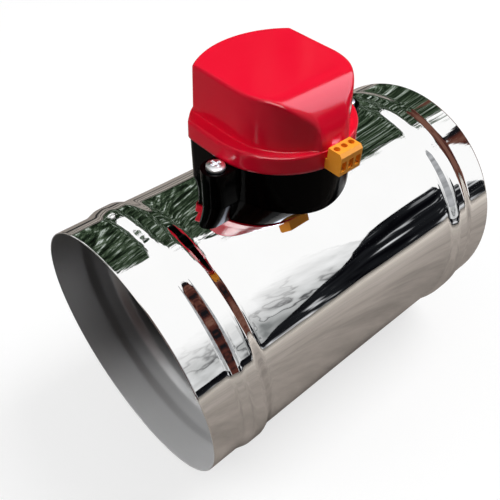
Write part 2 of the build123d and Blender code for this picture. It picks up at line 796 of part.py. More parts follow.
with BuildPart() as coil_winding:
    with BuildSketch(Plane((rotor_x, rotor_y, can_low + bobbin_wall))):
        Circle(coil_outer_r - bobbin_wall)
        Circle(coil_inner_r + bobbin_wall, mode=Mode.SUBTRACT)
    extrude(amount=coil_height - 2 * bobbin_wall)
save(coil_winding, "coil_winding")

with BuildPart() as pole_plate:
    with BuildSketch(Plane((rotor_x, rotor_y, can_low + coil_height))):
        Circle(coil_outer_r)
        Circle(claw_r, mode=Mode.SUBTRACT)
    extrude(amount=claw_thick)
    with BuildSketch(Plane((rotor_x, rotor_y, can_low + coil_height))):
        with PolarLocations(claw_r + claw_thick, claw_count):
            Rectangle(claw_thick, claw_width)
    extrude(amount=-claw_length)
save(pole_plate, "pole_plate")

with BuildPart() as motor_can:
    with BuildSketch(Plane((rotor_x, rotor_y, can_low))):
        Circle(can_r)
    extrude(amount=can_height)
    fillet(motor_can.faces().sort_by(Axis.Z)[-1].edges(), 2 * can_wall)
    with BuildSketch(Plane((rotor_x, rotor_y, can_low))):
        Circle(can_r - can_wall)
    extrude(amount=can_height - can_wall, mode=Mode.SUBTRACT)
    with BuildSketch(Plane((rotor_x, rotor_y, can_low))):
        Circle(rotor_axle_r + running_gap)
    extrude(amount=can_height, mode=Mode.SUBTRACT)
save(motor_can, "motor_can")

# Leads from the can down to the board
lead_start = rotor_y - sqrt(can_r**2 - lead_x**2) - lead_r
lead_high = can_low + can_height / 4
with BuildPart() as motor_leads:
    for x in (-lead_x, lead_x):
        with BuildLine() as route:
            FilletPolyline(
                (x, lead_start, lead_high),
                (x, (lead_start + lead_down) / 2, lead_high),
                (x, lead_down, (lead_high + upper_plate) / 2 - lead_drop),
                (x, lead_down, board_top),
                radius=2 * lead_r,
            )
        with BuildSketch(Plane((x, lead_start, lead_high), z_dir=(0, -1, 0))):
            Circle(lead_r)
        sweep(path=route.line)
save(motor_leads, "motor_leads")

# Limit switches: a body on the floor each side of the cam, with a hinged lever facing it
lever_low = cam_low + (cam_thick - lever_height) / 2
lever_end = switch_length / 2 - switch_hook - 2 * fit_gap
for side, switch_name, lever_name in (
    (1, "switch_open", "lever_open"),
    (-1, "switch_closed", "lever_closed"),
):
    with BuildPart() as switch:
        with BuildSketch(Plane((side * switch_middle, 0, floor_top))):
            RectangleRounded(switch_width, switch_length, switch_hook)
        extrude(amount=switch_height)
        with BuildSketch(Plane((side * (lever_x + switch_middle) / 2, 0, lever_low))):
            with Locations((0, (switch_length - switch_hook) / 2)):
                Rectangle(switch_middle - lever_x, switch_hook)
        extrude(amount=lever_height)
        with BuildSketch(Plane((side * switch_middle, 0, floor_top))):
            with GridLocations(0, switch_screw_span, 1, 2):
                Circle(switch_screw_r + fit_gap)
        extrude(amount=switch_height, mode=Mode.SUBTRACT)
    save(switch, switch_name)
    with BuildPart() as lever:
        with BuildSketch(Plane((side * (lever_x + lever_thick / 2), lever_end - lever_length / 2, lever_low))):
            Rectangle(lever_thick, lever_length)
        extrude(amount=lever_height)
    save(lever, lever_name)

switch_screw = pan_screw(switch_screw_r, switch_height + floor_thick, switch_screw_head_r, switch_screw_head)
with BuildPart() as switch_screws:
    with Locations(*[(x, y, floor_top + switch_height) for x, y in switch_holes]):
        add(switch_screw)
save(switch_screws, "switch_screws")

# Circuit board on its posts, and the terminal that plugs through the cover
with BuildPart() as circuit_board:
    with BuildSketch(Plane.XY.offset(board_low)):
        with Locations((0, (board_front + board_back) / 2)):
            Rectangle(2 * board_half, board_back - board_front)
        with Locations(*board_posts):
            Circle(board_screw_r + fit_gap, mode=Mode.SUBTRACT)
    extrude(amount=board_thick)
save(circuit_board, "circuit_board")

board_screw = pan_screw(board_screw_r, board_screw_length, board_screw_head_r, board_screw_head)
with BuildPart() as board_screws:
    with Locations(*[(x, y, board_top) for x, y in board_posts]):
        add(board_screw)
save(board_screws, "board_screws")

entry_low = terminal_low + entry_sill
with BuildPart() as terminal_block:
    with BuildSketch(Plane.XY.offset(terminal_low)):
        with Locations((0, (terminal_front + terminal_back) / 2)):
            Rectangle(2 * terminal_half, terminal_back - terminal_front)
    extrude(amount=terminal_top - terminal_low)
    top_edges = terminal_block.edges().filter_by(Axis.X).group_by(Axis.Z)[-1]
    chamfer(top_edges.sort_by(Axis.Y)[0], terminal_chamfer)
    with BuildSketch(Plane.XY.offset(terminal_low)):
        with Locations((0, (terminal_back + terminal_tail_back) / 2)):
            Rectangle(2 * terminal_half, terminal_tail_back - terminal_back)
    extrude(amount=terminal_tail_top - terminal_low)
    with BuildSketch(Plane.XZ.offset(-terminal_front)):
        with Locations(*[(x, entry_low + entry_height / 2) for x in terminal_xs]):
            Rectangle(entry_width, entry_height)
    extrude(amount=-entry_depth, mode=Mode.SUBTRACT)
    with BuildSketch(Plane.XY.offset(terminal_top)):
        with Locations(*[(x, terminal_back - release_back) for x in terminal_xs]):
            Circle(release_r)
    extrude(amount=-release_depth, mode=Mode.SUBTRACT)
save(terminal_block, "terminal_block")

with BuildPart() as terminal_clamps:
    for x in terminal_xs:
        with BuildSketch(Plane((x, 0, entry_low))):
            with Locations((0, terminal_front + entry_depth - clamp_length / 2)):
                Rectangle(entry_width - 2 * fit_gap, clamp_length)
        extrude(amount=clamp_thick)
        with BuildSketch(Plane((x, 0, entry_low))):
            with Locations((0, terminal_front + entry_depth - clamp_thick / 2)):
                Rectangle(entry_width - 2 * fit_gap, clamp_thick)
        extrude(amount=entry_height - clamp_thick)
save(terminal_clamps, "terminal_clamps")
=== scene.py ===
import json
import math

import bmesh
import bpy
import numpy as np
from mathutils import Matrix, Vector

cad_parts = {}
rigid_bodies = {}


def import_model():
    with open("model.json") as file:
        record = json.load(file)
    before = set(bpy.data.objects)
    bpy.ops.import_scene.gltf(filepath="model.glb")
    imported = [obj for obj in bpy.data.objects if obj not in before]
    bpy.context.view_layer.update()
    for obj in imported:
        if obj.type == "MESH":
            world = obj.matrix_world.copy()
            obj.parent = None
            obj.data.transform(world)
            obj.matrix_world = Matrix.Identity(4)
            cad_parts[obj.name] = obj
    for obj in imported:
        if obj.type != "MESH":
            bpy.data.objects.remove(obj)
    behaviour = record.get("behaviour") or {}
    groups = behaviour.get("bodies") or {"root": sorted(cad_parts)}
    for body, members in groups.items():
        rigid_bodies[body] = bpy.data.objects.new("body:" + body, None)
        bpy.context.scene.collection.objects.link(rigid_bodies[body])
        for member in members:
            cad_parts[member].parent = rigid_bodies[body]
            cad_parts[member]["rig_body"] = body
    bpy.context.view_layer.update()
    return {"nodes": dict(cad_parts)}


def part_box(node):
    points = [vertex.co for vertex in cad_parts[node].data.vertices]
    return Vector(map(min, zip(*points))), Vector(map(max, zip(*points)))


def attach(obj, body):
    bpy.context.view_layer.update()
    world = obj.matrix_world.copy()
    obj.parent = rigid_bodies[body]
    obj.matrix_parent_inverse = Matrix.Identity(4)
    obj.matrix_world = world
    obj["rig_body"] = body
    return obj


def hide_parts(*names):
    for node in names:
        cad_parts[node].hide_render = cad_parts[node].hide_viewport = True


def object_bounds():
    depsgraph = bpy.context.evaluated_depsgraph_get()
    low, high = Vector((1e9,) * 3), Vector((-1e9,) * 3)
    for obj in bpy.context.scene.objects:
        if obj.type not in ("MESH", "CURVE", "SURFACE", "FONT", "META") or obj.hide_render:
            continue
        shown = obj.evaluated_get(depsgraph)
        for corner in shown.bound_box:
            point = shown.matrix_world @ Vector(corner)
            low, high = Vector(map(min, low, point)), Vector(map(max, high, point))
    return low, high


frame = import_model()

scene = bpy.context.scene
scene.view_settings.view_transform = "Standard"
tiny = 1e-6  # keeps divisions away from nought
print("frame loaded:", len(frame["nodes"]), "nodes")


# shader sockets as Python values
class Val:
    def __init__(self, mat, socket):
        self.mat = mat
        self.socket = socket

    def math(self, op, a, b):
        return self.mat.node("ShaderNodeMath", {"operation": op}, {0: a, 1: b})

    def __add__(self, other):
        return self.math("ADD", self, other)

    def __radd__(self, other):
        return self.math("ADD", other, self)

    def __sub__(self, other):
        return self.math("SUBTRACT", self, other)

    def __rsub__(self, other):
        return self.math("SUBTRACT", other, self)

    def __mul__(self, other):
        return self.math("MULTIPLY", self, other)

    def __rmul__(self, other):
        return self.math("MULTIPLY", other, self)

    def __truediv__(self, other):
        return self.math("DIVIDE", self, other)

    def __rtruediv__(self, other):
        return self.math("DIVIDE", other, self)

    def above(self, edge):
        return self.math("GREATER_THAN", self, edge)

    def below(self, edge):
        return self.math("LESS_THAN", self, edge)

    def atMost(self, edge):
        return self.math("MINIMUM", self, edge)

    def atLeast(self, edge):
        return self.math("MAXIMUM", self, edge)

    def toUnit(self):
        return self.atLeast(0.0).atMost(1.0)


class Finish:
    def __init__(self, name, world=None):
        self.block = world or bpy.data.materials.new(name)
        self.block.use_nodes = True
        self.tree = self.block.node_tree
        self.tree.nodes.clear()

    # any node: its settings first, then its sockets by name or number
    def node(self, kind, settings=None, sockets=None, out=0):
        made = self.tree.nodes.new(kind)
        for key, value in (settings or {}).items():
            if key == "stops":
                ramp = made.color_ramp
                while len(ramp.elements) < len(value):
                    ramp.elements.new(1.0)
                for element, (place, colour) in zip(ramp.elements, value):
                    element.position = place
                    element.color = (*colour, 1.0)
            else:
                setattr(made, key, value)
        for key, value in (sockets or {}).items():
            self.feed(made.inputs[key], value)
        return Val(self, made.outputs[out]) if made.outputs else None

    def feed(self, socket, value):
        if isinstance(value, Val):
            self.tree.links.new(value.socket, socket)
        elif isinstance(value, (tuple, list)) and len(value) == 3 and socket.type == "RGBA":
            socket.default_value = (*value, 1.0)
        else:
            socket.default_value = value

    # object coordinates, stretched or not, and one axis of them
    def coords(self, stretch=(1, 1, 1)):
        place = self.node("ShaderNodeTexCoord", out="Object")
        return self.node("ShaderNodeMapping", None, {"Vector": place, "Scale": stretch})

    def axis(self, number):
        return self.node("ShaderNodeSeparateXYZ", None, {"Vector": self.coords()}, out=number)

    def noise(self, size, detail, rough, stretch=(1, 1, 1)):
        return self.node("ShaderNodeTexNoise", None, {
            "Vector": self.coords(stretch), "Scale": 1.0 / size, "Detail": detail, "Roughness": rough})

    def ramp(self, value, stops):
        return self.node("ShaderNodeValToRGB", {"stops": stops}, {"Fac": value})

    # colour a to colour b, by the amount; the node's colour sockets are 6 and 7, and 2 on its way out
    def mix(self, amount, a, b):
        return self.node("ShaderNodeMix", {"data_type": "RGBA"}, {0: amount, 6: a, 7: b}, out=2)

    def bump(self, height, depth, strength):
        return self.node("ShaderNodeBump", None, {
            "Height": height, "Distance": depth, "Strength": strength})

    def surface(self, **sockets):
        named = {key.replace("_", " "): value for key, value in sockets.items()}
        shader = self.node("ShaderNodeBsdfPrincipled", None, named)
        self.node("ShaderNodeOutputMaterial", None, {"Surface": shader})
        return self.block


def dress(names, material):
    for name in names:
        node = frame["nodes"][name]
        node.data.materials.clear()
        node.data.materials.append(material)


# finishes; a noise takes its size in metres, detail, roughness and stretch
def mirrorSteel():
    m = Finish("mirrorSteel")
    streak = m.noise(0.004, 4.0, 0.6, (0.12, 1, 1))
    haze = m.noise(0.03, 3.0, 0.55)
    dents = m.noise(0.030, 2.0, 0.5, (0.4, 1, 1))
    return m.surface(
        Base_Color=m.mix(haze, (0.94, 0.94, 0.935), (0.985, 0.985, 0.985)),
        Metallic=1.0, Roughness=0.015 + streak * 0.025,
        Normal=m.bump(dents, 0.0006, 0.30))


# painted shade: the bore's colour is dark in the middle, standing in for shade deep inside, and turns pale
# towards its ends, at this distance from the middle
borePaintedShadeSizes = {"paleFrom": 0.064, "fade": 0.018, "ragged": 0.006}


def satinSteel(sizes):
    m = Finish("satinSteel")
    lines = m.noise(0.0012, 3.0, 0.6, (1, 0.06, 0.06))
    cloud = m.noise(0.05, 3.0, 0.5)
    along = m.axis(0)
    fromMid = along.atLeast(0.0 - along)
    # painted shade: 0 deep in the bore, where the colour stands in for shade, rising to 1 near its ends
    paintedShadeLift = ((fromMid + cloud * sizes["ragged"] - sizes["paleFrom"]) / sizes["fade"]).toUnit()
    # colour of the painted shade deep in the bore
    paintedShadeDeep = (0.055, 0.055, 0.058)
    pale = m.mix(cloud, (0.40, 0.40, 0.405), (0.48, 0.48, 0.485))
    return m.surface(
        Base_Color=m.mix(paintedShadeLift, paintedShadeDeep, pale),
        Metallic=0.65, Roughness=0.30 + lines * 0.10,
        Normal=m.bump(lines, 0.00004, 0.5))


def mouldedPlastic(name, dark, pale, rough, grain, shine=0.5):
    m = Finish(name)
    cloud = m.noise(0.02, 3.0, 0.5)
    skin = m.noise(grain, 2.0, 0.5)
    return m.surface(
        Base_Color=m.mix(cloud, dark, pale), Roughness=rough + skin * 0.06,
        Specular_IOR_Level=shine, Normal=m.bump(skin, 0.00002, 0.5))


def platedSteel(name, colour, rough):
    m = Finish(name)
    spangle = m.node("ShaderNodeTexVoronoi", None, {"Vector": m.coords(), "Scale": 220.0})
    cloud = m.noise(0.008, 3.0, 0.5)
    pale = tuple(min(1.0, c * 1.15) for c in colour)
    return m.surface(
        Base_Color=m.mix(cloud, colour, pale), Metallic=1.0,
        Roughness=rough + spangle * 0.1, Normal=m.bump(cloud, 0.00003, 0.5))


def windingCopper():
    m = Finish("windingCopper")
    turns = m.node("ShaderNodeTexWave", {"bands_direction": "Z"}, {
        "Vector": m.coords(), "Scale": 480.0, "Distortion": 0.4, "Detail": 1.0})
    return m.surface(
        Base_Color=m.mix(turns, (0.30, 0.10, 0.03), (0.55, 0.22, 0.08)), Metallic=0.9,
        Roughness=0.32, Normal=m.bump(turns, 0.0002, 0.8))


def boardLaminate():
    m = Finish("boardLaminate")
    weave = m.node("ShaderNodeTexWave", {"bands_direction": "X"}, {
        "Vector": m.coords(), "Scale": 900.0, "Distortion": 1.0})
    cloud = m.noise(0.004, 2.0, 0.5)
    return m.surface(
        Base_Color=m.mix(cloud, (0.01, 0.09, 0.035), (0.02, 0.16, 0.06)),
        Roughness=0.35 + weave * 0.08)


steel = mirrorSteel()
inside = satinSteel(borePaintedShadeSizes)
# plastics: darker and paler colour, roughness, grain in metres, specular level
red = mouldedPlastic("redMoulding", (0.80, 0.004, 0.026), (0.84, 0.006, 0.034), 0.09, 0.0006, 0.26)
black = mouldedPlastic(
    "blackMoulding", (0.0006, 0.0006, 0.0008), (0.0012, 0.0012, 0.0014), 0.07, 0.0008, 0.035)
orange = mouldedPlastic("orangeMoulding", (0.98, 0.35, 0.026), (1.0, 0.42, 0.040), 0.30, 0.0004, 0.2)
nylon = mouldedPlastic("naturalNylon", (0.68, 0.64, 0.53), (0.75, 0.71, 0.60), 0.42, 0.0005)
acetal = mouldedPlastic("whiteAcetal", (0.78, 0.76, 0.69), (0.84, 0.82, 0.76), 0.36, 0.0005)
phenolic = mouldedPlastic("darkPhenolic", (0.014, 0.015, 0.017), (0.026, 0.027, 0.03), 0.4, 0.0005)
ferrite = mouldedPlastic("ferrite", (0.03, 0.028, 0.027), (0.06, 0.056, 0.052), 0.55, 0.0004)
rubber = mouldedPlastic("sealRubber", (0.018, 0.018, 0.018), (0.032, 0.031, 0.030), 0.62, 0.0007)
vinyl = mouldedPlastic("leadVinyl", (0.42, 0.42, 0.39), (0.50, 0.50, 0.47), 0.35, 0.0005)
# metals: colour, roughness
zinc = platedSteel("brightZinc", (0.80, 0.81, 0.83), 0.26)
galvanised = platedSteel("galvanisedSheet", (0.46, 0.47, 0.48), 0.28)
brass = platedSteel("tinnedBrass", (0.60, 0.42, 0.16), 0.25)

dress(["duct_sleeve"], steel)
dress(["actuator_cover"], red)
dress(["actuator_base"], black)
dress(["terminal_block"], orange)
dress(["upper_bush", "lower_bush", "coil_bobbin"], nylon)
dress(["drive_coupler", "output_gear", "second_gear", "first_gear", "rotor_pinion"], acetal)
dress(["limit_cam", "switch_open", "switch_closed"], phenolic)
dress(["rotor_magnet"], ferrite)
dress(["blade_seal"], rubber)
dress(["motor_leads"], vinyl)
dress(["blade_shaft", "shaft_clip", "blade_screws", "mounting_screws", "cover_screws", "plate_spacers",
       "gearbox_screws", "gear_axles", "rotor_axle", "lever_open", "lever_closed", "switch_screws",
       "board_screws"], zinc)
dress(["blade_plate_front", "blade_plate_back", "gear_plate_lower", "gear_plate_upper", "pole_plate",
       "motor_can"], galvanised)
dress(["terminal_clamps"], brass)
dress(["coil_winding"], windingCopper())
dress(["circuit_board"], boardLaminate())
print("finishes on every node")


def meshFromGrid(name, grids, material, closeU=False):
    # grids of points (rows u, columns v) to quads, several grids in one mesh
    grids = grids if isinstance(grids, list) else [grids]
    quads, start = [], 0
    for grid in grids:
        rows, cols = grid.shape[:2]
        u, v = np.meshgrid(np.arange(rows if closeU else rows - 1), np.arange(cols - 1), indexing="ij")
        nextU = (u + 1) % rows
        corners = [u * cols + v, nextU * cols + v, nextU * cols + v + 1, u * cols + v + 1]
        quads.append(np.stack(corners, -1).reshape(-1, 4) + start)
        start += rows * cols
    points = np.concatenate([grid.reshape(-1, 3) for grid in grids])
    quads = np.concatenate(quads)
    mesh = bpy.data.meshes.new(name)
    mesh.from_pydata(points.tolist(), [], quads.tolist())
    mesh.polygons.foreach_set("use_smooth", np.ones(len(quads), bool))
    mesh.materials.append(material)
    mesh.update()
    piece = bpy.data.objects.new(name, mesh)
    scene.collection.objects.link(piece)
    return piece


def weld(mesh, mergeReach, collapseReach):
    # one vertex where several meet, and no face without area
    work = bmesh.new()
    work.from_mesh(mesh)
    bmesh.ops.remove_doubles(work, verts=work.verts, dist=mergeReach)
    bmesh.ops.dissolve_degenerate(work, edges=work.edges, dist=collapseReach)
    work.to_mesh(mesh)
    work.free()


# sleeve: the CAD profile as a fine surface of revolution, so its mirror shows no facets
sleeveSizes = {
    "around": 256,
    "barrelR": 0.0750,
    "spigotR": 0.0757,
    "sheet": 0.0006,
    "beadFromEnd": 0.029,
    "beadHalf": 0.0100,
    "beadFlank": 0.0058,
    "beadHeight": 0.0025,
    "rootSpread": 0.0036,
    "fineStep": 0.0002,
    "beadStep": 0.0009,
    "plainStep": 0.0050,
    "lip": 0.00012,
    "lipPlaces": (0.00025, 0.00075, 0.00175),
    "pull": 0.00035,
    "pullReach": 0.010,
    "pullSpreads": 6,  # root spreads that soften the pull
    "wave": 0.00005,
    # times round, pace along, phase, share
    "waves": ((3, 31, 0.6, 1.0), (5, -47, 2.1, 0.7), (9, 73, 0.0, 0.5), (7, -150, 1.3, 0.3)),
}


def smoothed(values, count):
    # running mean under a bell-shaped window
    window = np.hanning(count | 1)
    padded = np.pad(values, len(window) // 2, mode="edge")
    return np.convolve(padded, window / window.sum(), mode="valid")


def beadProfile(x, low, high, sizes):
    # wall radius along the axis: a plain tube that climbs by straight flanks to a flat crown at each
    # bead, softened at the corners, with the sheet drawn up a little on the barrel's side
    away = np.minimum(x - low, high - x) - sizes["beadFromEnd"]
    plain = np.where(away < 0, sizes["spigotR"], sizes["barrelR"])
    climb = np.clip((sizes["beadHalf"] - np.abs(away)) / sizes["beadFlank"], 0, 1)
    wall = plain + (sizes["barrelR"] + sizes["beadHeight"] - plain) * climb
    past = away - sizes["beadHalf"]
    drawn = sizes["pull"] * np.exp(-past / sizes["pullReach"]) * (past > 0)
    spread = int(sizes["rootSpread"] / sizes["fineStep"])
    return smoothed(wall, spread) + smoothed(drawn, sizes["pullSpreads"] * spread)


def handRolledWaves(x, angle, sizes):
    # slow sine waves round and along the sheet, less their largest sum, so never outwards
    waves = sum(share * np.sin(times * angle + pace * x + phase)
                for times, pace, phase, share in sizes["waves"])
    return sizes["wave"] * (waves - sum(wave[-1] for wave in sizes["waves"]))


def sleeveStations(low, high, sizes):
    # places along the axis: close together over the beads, wide apart on the plain tube
    reach = sizes["beadHalf"] + sizes["rootSpread"]
    lowBead, highBead = low + sizes["beadFromEnd"], high - sizes["beadFromEnd"]
    marks = [low, lowBead - reach, lowBead + reach, highBead - reach, highBead + reach, high]
    plain, bead = sizes["plainStep"], sizes["beadStep"]
    runs = [
        np.linspace(a, b, math.ceil((b - a) / step), endpoint=False)
        for a, b, step in zip(marks, marks[1:], [plain, bead, plain, bead, plain])]
    lips = np.array(sizes["lipPlaces"])
    return np.unique(np.concatenate(runs + [low + lips, high - lips, [high]]))


def buildSleeve(sizes):
    # the wall's outer and inner radius at each station, turned once round the X axis
    low, high = (corner.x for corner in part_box("duct_sleeve"))
    fine = np.arange(low, high + sizes["fineStep"] / 2, sizes["fineStep"])
    x = sleeveStations(low, high, sizes)
    r = np.interp(x, fine, beadProfile(fine, low, high, sizes))
    ends = np.zeros_like(x)
    ends[[0, -1]] = sizes["lip"]
    px = np.concatenate([x, x[::-1], x[:1]])
    pr = np.concatenate([r - ends, (r - sizes["sheet"] + ends)[::-1], (r - ends)[:1]])
    turn = np.linspace(0, 2 * math.pi, sizes["around"], endpoint=False)[:, None]
    radius = pr[None, :] + handRolledWaves(px[None, :], turn, sizes)
    grid = np.stack(np.broadcast_arrays(px[None, :], -radius * np.sin(turn), radius * np.cos(turn)), -1)
    piece = meshFromGrid("sleeve_shell", grid, steel, closeU=True)
    # the columns after the outer wall are the lip and the bore
    piece.data.materials.append(inside)
    column = np.arange(len(piece.data.polygons)) % (len(px) - 1)
    piece.data.polygons.foreach_set("material_index", (column >= len(x) - 1).astype(np.int32))
    return piece


sleeve = buildSleeve(sleeveSizes)
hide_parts("duct_sleeve")
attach(sleeve, "sleeve")
print("sleeve surface built")


# cover: a profile of skirt, ledge, wall and rolled roof carried round the housing's plan
coverSizes = {
    "around": 480,
    "centreY": 0.004,
    "bodyHalf": 0.0334,
    "bodyY": 0.002,
    "bodyBackR": 0.054,
    "bodyCorner": 0.00048,
    "skirtHalf": 0.0413,
    "skirtY": 0.0063,
    "skirtBackR": 0.0556,
    "skirtCorner": 0.00092,
    "backY": -0.0084,
    "noseHalf": 0.0090,
    "noseFlare": 0.35,
    "noseFront": -0.0347,
    "noseBlend": 0.0018,
    "noseCorner": 0.0004,
    "noseFrom": 0.3,  # least cosine to the front
    "low": 0.0943,
    "ledge": 0.1035,
    "top": 0.1280,
    "skirtTaper": 2.5,
    "bodyTaper": 2.8,
    "shoulderStart": -0.012,
    "shoulderDrop": 0.033,
    "shoulderPower": 2.1,
    "ridge": 0.0022,
    "ridgeShare": 0.45,  # of the ledge
    "foot": 0.0008,
    "footShare": 0.4,  # of the ledge
    "footRise": 0.3,  # of the wall
    "rim": 0.0022,
    "rimShare": 0.45,  # of the wall
    "least": 0.0003,
    "wall": 0.0012,
    "settle": 4,
    # points up the skirt, over its ridge, along the ledge, round the foot, up the wall, over the rim
    "points": (6, 10, 4, 7, 10, 12),
    "roofPoints": 30,
    "poleReach": 1e-7,
}


def softMax(a, b, spread):
    # larger of two lengths, rounded over where they are close
    return np.maximum(a, b) + spread * np.log1p(np.exp(-np.abs(a - b) / spread))


def softMin(a, b, spread):
    # smaller of two lengths, as the larger of their negatives
    return -softMax(-a, -b, spread)


def reachToCircle(turn, startY, circleY, radius):
    # distance from (0, startY) along (sin, cos) of turn to a circle about (0, circleY)
    shift = startY - circleY
    return -shift * np.cos(turn) + np.sqrt(radius ** 2 - (shift * np.sin(turn)) ** 2)


def housingPlan(turn, part, sizes):
    # front arc, straight sides and a flatter back arc, as a reach from the plan's centre
    start, half, frontY = sizes["centreY"], sizes[part + "Half"], sizes[part + "Y"]
    side = half / np.maximum(np.abs(np.sin(turn)), tiny)
    backArc = reachToCircle(turn, start, sizes["backY"], sizes[part + "BackR"])
    back = softMin(side, backArc, sizes[part + "Corner"])
    front = reachToCircle(turn, start, frontY, half)
    return np.where(start + front * np.cos(turn) < frontY, front, back)


def noseReach(turn, sizes):
    # flat front with sides that flare towards the body, behind the centre it has no reach
    across, ahead = np.abs(np.sin(turn)), -np.cos(turn)
    flare = sizes["noseFlare"]
    depth = sizes["centreY"] - sizes["noseFront"]
    front = depth / np.maximum(ahead, tiny)
    side = (sizes["noseHalf"] + flare * depth) / np.maximum(across + flare * ahead, tiny)
    return np.where(ahead > sizes["noseFrom"], softMin(front, side, sizes["noseCorner"]), 0)


def roofHeight(y, sizes):
    # flat, then a quarter of a superellipse from the shoulder down to the nose
    start, power = sizes["shoulderStart"], sizes["shoulderPower"]
    fall = np.clip((start - y) / (start - sizes["noseFront"]), 0, 1)
    return sizes["top"] - sizes["shoulderDrop"] * (1 - (1 - fall ** power) ** (1 / power))


def outward(plan):
    # the plan's direction at each point, turned a quarter and made to face away from its middle
    along = np.roll(plan, -1, 0) - np.roll(plan, 1, 0)
    normal = np.stack([along[:, 1], -along[:, 0]], -1)
    normal /= np.linalg.norm(normal, axis=1, keepdims=True)
    return normal * np.sign(np.sum(normal * plan, axis=1, keepdims=True))


def straight(a, b, count):
    # points from a towards b, b left out
    t = np.linspace(0, 1, count, endpoint=False)[None, :, None]
    return a[:, None] * (1 - t) + b[:, None] * t


def rolled(a, b, c, count):
    # parabola from a to c, pulled towards b
    t = np.linspace(0, 1, count, endpoint=False)[None, :, None]
    return a[:, None] * (1 - t) ** 2 + 2 * b[:, None] * t * (1 - t) + c[:, None] * t ** 2


def stepTo(a, b, length):
    # point at a given length from a towards b
    line = b - a
    return a + line * (length / np.maximum(np.linalg.norm(line, axis=1), tiny))[:, None]


def raised(plan, z):
    # points of a plan at their height
    return np.concatenate([plan, np.broadcast_to(z, (len(plan),))[:, None]], -1)


def buildCover(sizes):
    # skirt and body are plans about one centre; the body is the larger of the housing and the nose
    turn = np.linspace(0, 2 * math.pi, sizes["around"], endpoint=False)
    heading = np.stack([np.sin(turn), np.cos(turn)], -1)
    middle = np.array([0, sizes["centreY"]])
    skirt = middle + heading * housingPlan(turn, "skirt", sizes)[:, None]
    bodyReach = softMax(housingPlan(turn, "body", sizes), noseReach(turn, sizes), sizes["noseBlend"])
    body = middle + heading * bodyReach[:, None]
    skirtOut, bodyOut = outward(skirt), outward(body)

    # the skirt leans in up to the ledge, which keeps a least width
    rise = sizes["ledge"] - sizes["low"]
    skirtTop = skirt - skirtOut * rise * math.tan(math.radians(sizes["skirtTaper"]))
    ledgeWide = np.sum((skirtTop - body) * skirtOut, axis=1)
    short = np.clip(sizes["least"] - ledgeWide, 0, None)
    foot = body - skirtOut * short[:, None]
    ledgeWide = np.maximum(ledgeWide, sizes["least"])

    # the wall leans in as it rises and the roof falls forwards, so the two are settled in turn
    lean = math.tan(math.radians(sizes["bodyTaper"]))
    height = roofHeight(foot[:, 1], sizes)
    for step in range(sizes["settle"]):
        rim = foot - bodyOut * (np.clip(height - sizes["ledge"], 0, None) * lean)[:, None]
        height = roofHeight(rim[:, 1], sizes)
    height = np.maximum(height, sizes["ledge"] + sizes["least"])
    tall = height - sizes["ledge"]

    hem, edge = raised(skirt, sizes["low"]), raised(skirtTop, sizes["ledge"])
    heel, brow = raised(foot, sizes["ledge"]), raised(rim, height)
    ridge = np.minimum(sizes["ridge"], sizes["ridgeShare"] * ledgeWide)
    tuck = np.minimum(sizes["foot"], sizes["footShare"] * ledgeWide)
    tuck = np.minimum(tuck, sizes["footRise"] * tall)
    bend = np.minimum(sizes["rim"], sizes["rimShare"] * tall)
    inward = stepTo(rim, np.broadcast_to(middle, rim.shape), bend)
    roofEdge = raised(inward, roofHeight(inward[:, 1], sizes))

    # the roof runs straight in from the rim to the middle of the plan, at its height there
    t = np.linspace(0, 1, sizes["roofPoints"])[None, :, None]
    roofPlan = inward[:, None] * (1 - t) + middle * t
    roof = np.concatenate([roofPlan, roofHeight(roofPlan[..., 1:], sizes)], -1)
    beforeRidge, afterRidge = stepTo(edge, hem, ridge), stepTo(edge, heel, ridge)
    beforeFoot, afterFoot = stepTo(heel, edge, tuck), stepTo(heel, brow, tuck)
    beforeRim = stepTo(brow, heel, bend)
    upSkirt, overRidge, onLedge, roundFoot, upWall, overRim = sizes["points"]
    grid = np.concatenate([
        straight(hem, beforeRidge, upSkirt), rolled(beforeRidge, edge, afterRidge, overRidge),
        straight(afterRidge, beforeFoot, onLedge), rolled(beforeFoot, heel, afterFoot, roundFoot),
        straight(afterFoot, beforeRim, upWall), rolled(beforeRim, brow, roofEdge, overRim), roof], 1)
    piece = meshFromGrid("cover_shell", grid[::-1], red, closeU=True)
    weld(piece.data, sizes["poleReach"], sizes["poleReach"])
    thick = piece.modifiers.new("wall", "SOLIDIFY")
    thick.thickness = sizes["wall"]
    thick.offset = -1.0
    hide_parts("actuator_cover")
    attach(piece, "sleeve")


buildCover(coverSizes)
print("cover surface built")


# moulded shells: merged copies of the CAD meshes, smooth across everything but real edges
shellSizes = {"edgeDeg": 28.0, "mergeReach": 2e-6, "collapseReach": 1e-6}


def mouldedCopy(name, node, material, sizes):
    source = frame["nodes"][node]
    mesh = source.data.copy()
    mesh.name = name
    weld(mesh, sizes["mergeReach"], sizes["collapseReach"])
    mesh.materials.clear()
    mesh.materials.append(material)
    if mesh.has_custom_normals:
        mesh.attributes.remove(mesh.attributes["custom_normal"])
    mesh.polygons.foreach_set("use_smooth", np.ones(len(mesh.polygons), bool))
    mesh.set_sharp_from_angle(angle=math.radians(sizes["edgeDeg"]))
    piece = bpy.data.objects.new(name, mesh)
    scene.collection.objects.link(piece)
    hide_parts(node)
    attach(piece, source["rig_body"])
    return piece


base = mouldedCopy("base_shell", "actuator_base", black, shellSizes)
terminal = mouldedCopy("terminal_shell", "terminal_block", orange, shellSizes)


# lug screws: a domed head turned on a shank, with a cross pressed into it
screwSizes = {
    "around": 128,
    "domeRings": 48,
    "sideRings": 8,
    "headR": 0.0049,
    "head": 0.0030,
    "dome": 0.0011,
    "domeShare": 0.93,
    "domePower": 2.4,
    "sideFrom": 0.15,
    "brim": 0.0004,
    "undercut": 0.0003,
    "shankR": 0.0020,
    "tip": 0.0008,
    "armReach": 0.0029,
    "armHalf": 0.00062,
    "armSoft": 0.00032,
    "armDepth": 0.0021,
    "poleReach": 1e-7,
}


